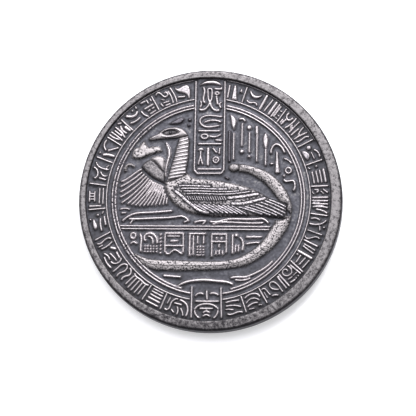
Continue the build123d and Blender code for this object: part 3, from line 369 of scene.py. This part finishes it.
def antique_silver(name, deep, middle, high, rough_low, rough_high, mottle, bump):
    """Antique silver plate: blackened in the hollows, rubbed back to pale silver on the high places."""
    material = bpy.data.materials.new(name)
    material.use_nodes = True
    tree = material.node_tree
    tree.nodes.clear()
    place = add_node(tree, "ShaderNodeTexCoord")
    blotch = add_node(tree, "ShaderNodeTexNoise", {}, {
        "Vector": place.outputs["Object"], "Scale": BLOTCHES_PER_MM * MM, "Detail": 3.0, "Roughness": 0.6})
    grit = add_node(tree, "ShaderNodeTexNoise", {}, {
        "Vector": place.outputs["Object"], "Scale": GRIT_PER_MM * MM, "Detail": 2.0, "Roughness": 0.6})
    # the wear attribute also carries painted light and shade on the rim, the field and some strokes
    wear_and_shade = add_node(tree, "ShaderNodeAttribute", {"attribute_name": "wear_and_shade"})
    both = add_node(tree, "ShaderNodeMath", {"operation": "ADD"}, {
        0: blotch.outputs["Fac"], 1: grit.outputs["Fac"]})
    uneven = add_node(tree, "ShaderNodeMath", {"operation": "MULTIPLY_ADD"}, {
        0: both.outputs[0], 1: mottle, 2: -mottle})
    level = add_node(tree, "ShaderNodeMath", {"operation": "MULTIPLY_ADD", "use_clamp": True}, {
        0: wear_and_shade.outputs["Fac"], 1: uneven.outputs[0], 2: wear_and_shade.outputs["Fac"]})
    tone = add_node(tree, "ShaderNodeValToRGB", {}, {"Fac": level.outputs[0]})
    tone.color_ramp.elements[0].color = linear(deep)
    tone.color_ramp.elements[0].position = 0.0
    tone.color_ramp.elements[1].color = linear(high)
    tone.color_ramp.elements[1].position = PALE_TONE
    half = tone.color_ramp.elements.new(MIDDLE_TONE)
    half.color = linear(middle)
    polish = add_node(tree, "ShaderNodeMapRange", {}, {
        "Value": level.outputs[0], "To Min": rough_low, "To Max": rough_high})
    relief = add_node(tree, "ShaderNodeBump", {}, {
        "Height": both.outputs[0], "Strength": bump, "Distance": GRIT_DEPTH / MM})
    # the black sulphide skin in the hollows shines less like metal than the rubbed silver
    bare = add_node(tree, "ShaderNodeMapRange", {}, {
        "Value": level.outputs[0], "From Max": 0.3, "To Min": 0.5})
    shader = add_node(tree, "ShaderNodeBsdfPrincipled", {}, {
        "Base Color": tone.outputs["Color"], "Metallic": bare.outputs["Result"],
        "Roughness": polish.outputs["Result"], "Normal": relief.outputs["Normal"]})
    add_node(tree, "ShaderNodeOutputMaterial", {}, {"Surface": shader.outputs["BSDF"]})
    return material


DARK = "#1d1c20"
# thin strokes polished along their crests: the eye gets a soft pale line with a black foot
relief_silver = antique_silver("antique_silver_relief", DARK, "#636067", "#bcb6b9", 0.58, 0.5,
                               mottle=0.6, bump=0.5)
# cast skin rubbed by hand: a dull grey with fine dark pits, and no sharp highlight
figure_silver = antique_silver("antique_silver_figure", DARK, "#4b494d", "#a29d9f", 0.7, 0.64,
                               mottle=1.0, bump=0.8)
# blackened and only half wiped: a smoky ground, darkened up to every stroke by patina and painted shade
field_silver = antique_silver("antique_silver_field", DARK, "#48484e", "#85827f", 0.55, 0.45,
                              mottle=1.1, bump=0.5)
# blasted, blackened and handled: a coarse speckle of dark pits in grey, with a broad sheen
rim_silver = antique_silver("antique_silver_rim", DARK, "#2f2d30", "#737072", 0.7, 0.52,
                            mottle=1.7, bump=1.0)

# ------------------------------------------------------------------ strokes of the obverse

LINES = ["column_frame", "column_upper_signs", "column_lower_signs", "panel_frame", "panel_signs",
         "bottom_arch", "border_line", "outer_ring", "inner_ring", "border_dividers",
         "border_signs_upper_right", "border_signs_right", "border_signs_lower_right",
         "border_signs_lower_left", "border_signs_left", "border_signs_upper_left", "goose_left_leg",
         "goose_right_leg", "ground_lines", "crest_marks", "spear", "adze", "mace", "paddles", "lamp",
         "snake", "register_frames", "register_signs", "water_lines"]
ON_FIELD = LINES + ["rim_line", "goose_head", "goose_neck", "goose_body", "boat_hull", "boat_stern_curl",
                    "boat_stern_knob", "fan_mantle", "fan_hood", "fan_feathers", "hanging_plume",
                    "small_bird"]
# painted shade darkens the tops of the right and lower right border signs, on the side away from the light;
# the crest marks are rubbed less; all other strokes are rubbed to 1 along their tops
SHADED_AND_LESS_RUBBED = {"border_signs_right": 0.84, "border_signs_lower_right": 0.84, "crest_marks": 0.5}
# tools and the register are wiped down to their feet; the register's skin is rougher too
WIPED = ["register_frames", "register_signs", "spear", "adze", "mace", "paddles"]

for node in LINES:
    piece = struck(node, FINE, 0.2 * SCALE, crest=0.6, flat_loss=0.5,
                   rough=0.035 if node.startswith("register") else 0.02,
                   low_wear=0.2 if node in WIPED else 0.0,
                   # the painted shade on the right and lower right border signs comes in through their top
                   # wear
                   top_wear=SHADED_AND_LESS_RUBBED.get(node, 1.0),
                   draft=0.1 if node.startswith("border") else 0.17)
    if node in ("inner_ring", "outer_ring"):
        # the rings are pitted from seven to eleven on the clock
        stipple(piece, 0.16, 0.26, 0.7, (215, 330))
    finish_mesh(piece, relief_silver, node)

piece = struck("rim_line", FINE, 0.1 * SCALE, top_wear=0.7)
finish_mesh(piece, relief_silver, "rim_line")

# ------------------------------------------------------------------ figures of the obverse

# node, rounding, wear at the foot, draft, how pitted, finish
LIGHT_FIGURES = (("fan_feathers", 0.13, 0.0, 0.12, 0.1, relief_silver),
                 ("hanging_plume", 0.3, 0.1, 0.2, 0.3, relief_silver),
                 ("fan_hood", 0.35, 0.15, 0.2, 0.2, figure_silver),
                 ("small_bird", 0.3, 0.15, 0.2, 0.6, figure_silver))
for node, rounding, low_wear, draft, pitted, finish in LIGHT_FIGURES:
    piece = struck(node, FINE, rounding * SCALE, rough=0.02, low_wear=low_wear, crest=0.35, draft=draft)
    stipple(piece, 0.1 * pitted, 0.28, pitted)
    finish_mesh(piece, finish, node)

# boat and mantle carry the rough cast skin
# node, rounding, rounding towards the coin's foot, skin, wear at the top, how pitted
CAST_FIGURES = (("boat_hull", 0.28, 1.9, 0.03, 1.0, 0.6),
                ("boat_stern_curl", 0.3, 1.2, 0.02, 0.9, 0.45),
                ("boat_stern_knob", 0.3, 0.5, 0.01, 0.85, 0.2),
                ("fan_mantle", 0.3, 0.4, 0.015, 0.62, 0.15))
for node, rounding, lower, rough, top_wear, pitted in CAST_FIGURES:
    piece = struck(node, FINE, rounding * SCALE, rough=rough, top_wear=top_wear, low_wear=0.38, draft=0.15,
                   lower_rounding=lower * SCALE)
    stipple(piece, 0.14 * pitted, 0.2, pitted)
    finish_mesh(piece, figure_silver, node)

# goose: head, neck and body first, then the strokes that lie on them, cut from finer voxels
ROWS = ["goose_breast_ridge", "goose_wing_coverts", "goose_wing_barbs", "goose_wing_edges",
        "goose_flight_feathers", "goose_tail_feathers"]
FEATHERS = ROWS[:2] + ["goose_scapular_dots"] + ROWS[2:]
FINER = FINE * 0.8

head = struck("goose_head", FINE, 0.3 * SCALE, rough=0.015, low_wear=0.2, lower_rounding=0.5 * SCALE)
neck = struck("goose_neck", FINE, 1.0 * SCALE, low_wear=0.2, draft=0.05)
body = struck("goose_body", FINE, 0.4 * SCALE, rough=0.03, low_wear=0.6, top_wear=0.95, draft=0.15,
              lower_rounding=0.65 * SCALE)
stipple(body, 0.07, 0.22, 0.65)
# patina and painted shade darken the neck and body close to the rings and feathers
groove(neck, ["goose_neck_rings"], 0.35, 0.12)
groove(body, ROWS, 1.0, 0.2)
body_tree = surface_tree(body)
lids = struck("goose_eyelids", FINER, 0.13 * SCALE, over=surface_tree(head), low_wear=0.3, draft=0.02)
ball = struck("goose_eyeball", FINER, 0.2 * SCALE, top_wear=0.5)
rings = struck("goose_neck_rings", FINER, 0.16 * SCALE, over=surface_tree(neck), low_wear=0.15,
               top_wear=0.82, draft=0.04)
for piece, node, finish in ((head, "goose_head", figure_silver),
                            (neck, "goose_neck", figure_silver),
                            (body, "goose_body", figure_silver),
                            (lids, "goose_eyelids", relief_silver),
                            (ball, "goose_eyeball", figure_silver),
                            (rings, "goose_neck_rings", relief_silver)):
    finish_mesh(piece, finish, node)
for node in FEATHERS:
    piece = struck(node, FINER, 0.15 * SCALE, rough=0.01, over=body_tree, top_wear=0.72, crest=1.2,
                   draft=0.02)
    finish_mesh(piece, relief_silver, node)

# ------------------------------------------------------------------ relief of the reverse

# broad plain shapes, which coarser voxels hold well
COARSER = FINE * 1.8
for node, rounding in (("reverse_ring", 0.2), ("reverse_rosette", 0.6), ("reverse_disc", 0.8)):
    piece = struck(node, COARSER, rounding * SCALE, shoulder=0.3)
    finish_mesh(piece, relief_silver, node)

# ------------------------------------------------------------------ rims

# corners of the coin's outline, and steps round the shoulder, over the flat top and down the inner wall
AROUND = 320
SHOULDER_STEPS = 5
TOP_STEPS = 6
WALL_STEPS = 10
# the shoulder is worn rounder than it was turned
SHOULDER_WEAR = 1.45
# the struck edge is crisper than the blank's: its wall takes less than half the room the CAD leaves
CRISP_RADIUS = FOOT_RADIUS + 0.45 * (CREST_RADIUS - FOOT_RADIUS)


def loop_up(rise, factor=1.0, shift=(0.0, 0.0), centre=(0.0, 0.0)):
    """Extrudes the open loop, lifts it, and scales it about a centre."""
    bpy.ops.mesh.extrude_region_move(TRANSFORM_OT_translate={"value": (shift[0], shift[1], rise)})
    if factor != 1.0:
        bpy.ops.transform.resize(value=(factor, factor, 1), center_override=(centre[0], centre[1], 0))


def rim(node, low, high, inner_top, inner_foot, shift, upwards):
    """A raised rim: straight edge, rounded shoulder, flat top and a sloping inner wall."""
    sign = 1 if upwards else -1
    rounding = SHOULDER_WEAR * (COIN_RADIUS - FLAT_RADIUS)
    flat_radius = COIN_RADIUS - rounding
    straight = (high - low) - rounding
    bpy.ops.object.select_all(action="DESELECT")
    bpy.ops.mesh.primitive_circle_add(vertices=AROUND, radius=COIN_RADIUS, fill_type="NOTHING",
                                      location=(0, 0, low if upwards else high))
    piece = bpy.context.object
    piece.name = node + "_struck"
    bpy.ops.object.transform_apply(location=True, rotation=True, scale=True)
    bpy.ops.object.mode_set(mode="EDIT")
    bpy.ops.mesh.select_all(action="SELECT")
    loop_up(sign * straight)
    radius = COIN_RADIUS
    rise = 0.0
    for step in range(1, SHOULDER_STEPS + 1):
        angle = step / SHOULDER_STEPS * math.pi / 2
        wanted = COIN_RADIUS - rounding * (1 - math.cos(angle))
        lift = rounding * math.sin(angle)
        loop_up(sign * (lift - rise), wanted / radius)
        radius = wanted
        rise = lift
    # the flat top runs in to the struck edge, which follows the die's centre
    for step in range(1, TOP_STEPS + 1):
        wanted = flat_radius + (inner_top - flat_radius) * step / TOP_STEPS
        loop_up(0.0, wanted / radius, (shift[0] / TOP_STEPS, shift[1] / TOP_STEPS),
                (shift[0] * step / TOP_STEPS, shift[1] * step / TOP_STEPS))
        radius = wanted
    # rounded inner crest, steep wall, small fillet at the foot
    rise = 0.0
    for step in range(1, WALL_STEPS + 1):
        wanted = inner_top + (inner_foot - inner_top) * step / WALL_STEPS
        lift = (high - low) * (math.cos(math.pi * step / WALL_STEPS) - 1) / 2
        loop_up(sign * (lift - rise), wanted / radius, (0, 0), shift)
        radius = wanted
        rise = lift
    # the two open edges are joined underneath, so the rim is a closed ring
    bpy.ops.mesh.select_all(action="DESELECT")
    bpy.ops.mesh.select_mode(type="EDGE")
    bpy.ops.mesh.select_non_manifold(extend=False, use_boundary=True, use_wire=False, use_multi_face=False,
                                     use_non_contiguous=False, use_verts=False)
    bpy.ops.mesh.bridge_edge_loops()
    bpy.ops.mesh.select_all(action="SELECT")
    bpy.ops.mesh.normals_make_consistent(inside=False)
    bpy.ops.object.mode_set(mode="OBJECT")
    return piece


# wear of the flat top, with painted shade that darkens it towards the coin's foot, and wear of the inner
# wall
TOP_WEAR = 0.74
FOOT_SHADE = 0.28
WALL_WEAR = 0.6
# wear of the shoulder, with painted light that makes it paler towards the upper left
SHOULDER_LOW = 0.32
SHOULDER_LIGHT_GAIN = 0.35
DIAGONAL = 1.41
# the shoulder stays dark until close to its top
SHOULDER_TURN = 6
# the shoulder begins this far inside the flat top's outer edge
SHOULDER_EDGE = 0.1

front = rim("obverse_rim", FIELD_Z, COIN_TOP, CRISP_RADIUS, FOOT_RADIUS, (STRIKE_X, STRIKE_Y), True)
back = rim("reverse_rim", 0.0, REVERSE_Z, CREST_RADIUS, FOOT_RADIUS, (0.0, 0.0), False)
for piece, node, base, top in ((front, "obverse_rim", FIELD_Z, COIN_TOP),
                               (back, "reverse_rim", REVERSE_Z, 0.0)):
    places = places_of(piece)
    height = abs(places[:, 2] - base) / abs(top - base)
    # painted shade: the flat top darkens towards the coin's foot, the side away from the softboxes
    lower = np.clip(-places[:, 1] / COIN_RADIUS, 0, 1) ** 2
    flat_wear = TOP_WEAR - FOOT_SHADE * lower
    # painted light: the shoulder is made paler towards the upper left, where the light comes from
    lit_upper_left = np.clip((places[:, 1] - places[:, 0]) / (DIAGONAL * COIN_RADIUS), 0, 1)
    shoulder_wear_and_light = SHOULDER_LOW + SHOULDER_LIGHT_GAIN * lit_upper_left
    on_shoulder = np.hypot(places[:, 0], places[:, 1]) > FLAT_RADIUS - SHOULDER_EDGE
    set_wear_and_shade(piece, np.where(on_shoulder, shoulder_wear_and_light + (flat_wear - shoulder_wear_and_light) * height ** SHOULDER_TURN,
                             WALL_WEAR + (flat_wear - 0.5) * height))
    finish_mesh(piece, rim_silver, node)

# ------------------------------------------------------------------ blank and field

# the blank's own edge wall, and its wear; its faces run in under the rims only
EDGE_WEAR = 0.32
UNDER_RIM = 0.25 * SCALE

bpy.ops.object.select_all(action="DESELECT")
bpy.ops.mesh.primitive_cylinder_add(vertices=AROUND, radius=COIN_RADIUS, depth=FIELD_Z - REVERSE_Z,
                                    location=(0, 0, (FIELD_Z + REVERSE_Z) / 2))
core = bpy.context.object
bpy.ops.object.transform_apply(location=True, rotation=True, scale=True)
set_wear_and_shade(core, np.full(len(core.data.vertices), EDGE_WEAR))
bpy.ops.object.mode_set(mode="EDIT")
bpy.ops.mesh.select_mode(type="FACE")
bpy.ops.mesh.select_all(action="DESELECT")
bpy.ops.object.mode_set(mode="OBJECT")
for face in core.data.polygons:
    face.select = abs(face.normal.z) > 0.9
bpy.ops.object.mode_set(mode="EDIT")
bpy.ops.mesh.inset(thickness=COIN_RADIUS - FOOT_RADIUS - UNDER_RIM)
bpy.ops.mesh.delete(type="FACE")
bpy.ops.object.mode_set(mode="OBJECT")

# the field's sheets run on this far under the rims
SHEET_OVERLAP = 0.7 * SCALE


def field_disc(z, cells, upwards):
    """A fine round sheet that carries the patina and painted shade round the relief."""
    bpy.ops.object.select_all(action="DESELECT")
    bpy.ops.mesh.primitive_grid_add(x_subdivisions=cells, y_subdivisions=cells, size=2 * COIN_RADIUS,
                                    location=(0, 0, z))
    sheet = bpy.context.object
    bpy.ops.object.transform_apply(location=True, rotation=True, scale=True)
    places = places_of(sheet)
    radius = np.hypot(places[:, 0], places[:, 1])
    bpy.ops.object.mode_set(mode="EDIT")
    bpy.ops.mesh.select_mode(type="VERT")
    bpy.ops.mesh.select_all(action="DESELECT")
    bpy.ops.object.mode_set(mode="OBJECT")
    sheet.data.vertices.foreach_set("select", radius > FOOT_RADIUS + SHEET_OVERLAP)
    bpy.ops.object.mode_set(mode="EDIT")
    bpy.ops.mesh.delete(type="VERT")
    if not upwards:
        bpy.ops.mesh.select_all(action="SELECT")
        bpy.ops.mesh.flip_normals()
    bpy.ops.object.mode_set(mode="OBJECT")
    return sheet


# height of the small fillet at the foot of each stroke, and how far the sheet lies under the CAD's field
FILLET = 0.06
FIELD_SINK = 0.02
# wear of the plain field on either side
FIELD_WEAR = 0.42

field = field_disc(FIELD_Z, 340, True)
places = places_of(field)
near, _ = reach(wall_tree(ON_FIELD), places, LOW_Z, 1.2)
from_centre = np.hypot(places[:, 0] - STRIKE_X, places[:, 1] - STRIKE_Y)
to_rim = np.clip(FOOT_RADIUS - from_centre, 0, None)
# patina and painted shade: the field darkens close to the foot of each stroke and of the rim
patina_and_shade = np.maximum(0.75 * fade(near, 0.14) + 0.25 * fade(near, 0.6), 0.35 * fade(to_rim, 0.12))
# the metal flows up to the foot of each stroke
places[:, 2] += FILLET * bell(near, 0.2)
# the field itself is a little uneven, in waves of 0.9 and 0.3 mm
places[:, 2] += 0.014 * grain(places, 0.9) + 0.012 * grain(places, 0.3, 2.0) - FIELD_SINK
set_places(field, places)
# more patina and painted shade stay between the dense signs of the border, the plain band at the right is
# made lighter, and painted light makes the field paler towards the top
border = np.clip((from_centre - BAND_RADIUS - 0.6 * SCALE) / (0.5 * SCALE), 0, 1)
band = bell(from_centre - BAND_RADIUS, 0.8) * np.clip(places[:, 0] / COIN_RADIUS, 0, 1)
# painted light: the field is paler towards the top, on the side the softboxes light
ground = FIELD_WEAR + 0.1 * places[:, 1] / COIN_RADIUS - 0.1 * border + 0.32 * band - 0.38 * patina_and_shade
# cloudy stains 1.6 mm across, smaller ones of 0.35 mm, and pits
ground += 0.14 * grain(places, 1.6, 9.0) + 0.16 * grain(places, 0.35, 4.0)
ground -= 0.25 * pits_in(places, 0.3, 6.0, 0.5)
set_wear_and_shade(field, ground)
under = field_disc(REVERSE_Z, 90, False)
set_wear_and_shade(under, np.full(len(under.data.vertices), FIELD_WEAR))
bpy.ops.object.select_all(action="DESELECT")
for piece in (core, field, under):
    piece.select_set(True)
bpy.context.view_layer.objects.active = field
bpy.ops.object.join()
blank = bpy.context.object
blank.name = "coin_blank_struck"
finish_mesh(blank, field_silver, "coin_blank")
bpy.ops.object.shade_smooth_by_angle(angle=math.radians(40))

# ------------------------------------------------------------------ floor and light

# white acrylic, lit a little from below: it throws no hard shadow and stays clean white
TABLE_SIZE = 4.0
TABLE_GLOW = 0.4

bpy.ops.object.select_all(action="DESELECT")
bpy.ops.mesh.primitive_plane_add(size=TABLE_SIZE, location=(0, 0, 0))
floor = bpy.context.object
floor.name = "floor"
table = bpy.data.materials.new("lit_white_acrylic")
table.use_nodes = True
surface = table.node_tree.nodes["Principled BSDF"]
surface.inputs["Base Color"].default_value = linear("#dcdce0")
surface.inputs["Roughness"].default_value = 0.9
surface.inputs["Emission Color"].default_value = linear("#ffffff")
surface.inputs["Emission Strength"].default_value = TABLE_GLOW
floor.data.materials.append(table)

# a bright wall behind the coin's top, falling off to a dim room on the near side
WALL_LIGHT = 1.3
ROOM_LIGHT = 0.18

world = bpy.data.worlds.new("studio")
world.use_nodes = True
room = world.node_tree
bearing = add_node(room, "ShaderNodeTexCoord")
split = add_node(room, "ShaderNodeSeparateXYZ", {}, {"Vector": bearing.outputs["Generated"]})
fall = add_node(room, "ShaderNodeMapRange", {}, {
    "Value": split.outputs["Y"], "From Min": -0.6, "From Max": 0.45, "To Min": ROOM_LIGHT,
    "To Max": WALL_LIGHT})
room.nodes["Background"].inputs["Color"].default_value = linear("#f6f6f8")
room.links.new(fall.outputs["Result"], room.nodes["Background"].inputs["Strength"])
scene.world = world
scene.view_settings.view_transform = "Standard"


def softbox(name, place, size, power):
    """A square soft light that looks at the coin."""
    bpy.ops.object.light_add(type="AREA", location=place)
    lamp = bpy.context.object
    lamp.name = name
    lamp.data.size = size
    lamp.data.energy = power
    lamp.rotation_euler = (-Vector(place)).to_track_quat("-Z", "Y").to_euler()


softbox("key_softbox", place=(0.10, 0.34, 0.30), size=0.22, power=3.4)
softbox("top_softbox", place=(-0.10, 0.22, 0.60), size=0.30, power=2.4)

# ------------------------------------------------------------------ camera

# it looks down on the coin, tipped nine and a half degrees towards its lower right
ROLL = math.radians(0.7)
TIP = math.radians(9.5)
TOWARDS = math.radians(65)
# a long lens keeps the coin round: lens and sensor in mm, width of the view at the coin in metres
LENS = 400.0
SENSOR = 36.0
VIEW_WIDTH = 0.06313
# the coin lies this far right of and above the middle of the view
COIN_RIGHT = 0.00044
COIN_UP = 0.00098

across = Vector((math.cos(ROLL), math.sin(ROLL), 0))
along = Vector((-math.sin(ROLL), math.cos(ROLL), 0))
lean = math.cos(TOWARDS) * across - math.sin(TOWARDS) * along
behind = (math.cos(TIP) * Vector((0, 0, 1)) + math.sin(TIP) * lean).normalized()
turn = Vector((0, 0, 1)).rotation_difference(behind)
right = turn @ across
up = turn @ along
middle = Vector((0, 0, COIN_TOP / 2 / MM)) - right * COIN_RIGHT - up * COIN_UP
stand = middle + behind * (VIEW_WIDTH * LENS / SENSOR)
camera_data = bpy.data.cameras.new("camera")
camera = bpy.data.objects.new("camera", camera_data)
scene.collection.objects.link(camera)
camera_data.lens = LENS
camera_data.sensor_width = SENSOR
camera_data.clip_start = 0.01
camera.matrix_world = Matrix((
    (right.x, up.x, behind.x, stand.x),
    (right.y, up.y, behind.y, stand.y),
    (right.z, up.z, behind.z, stand.z),
    (0, 0, 0, 1)))
scene.camera = camera
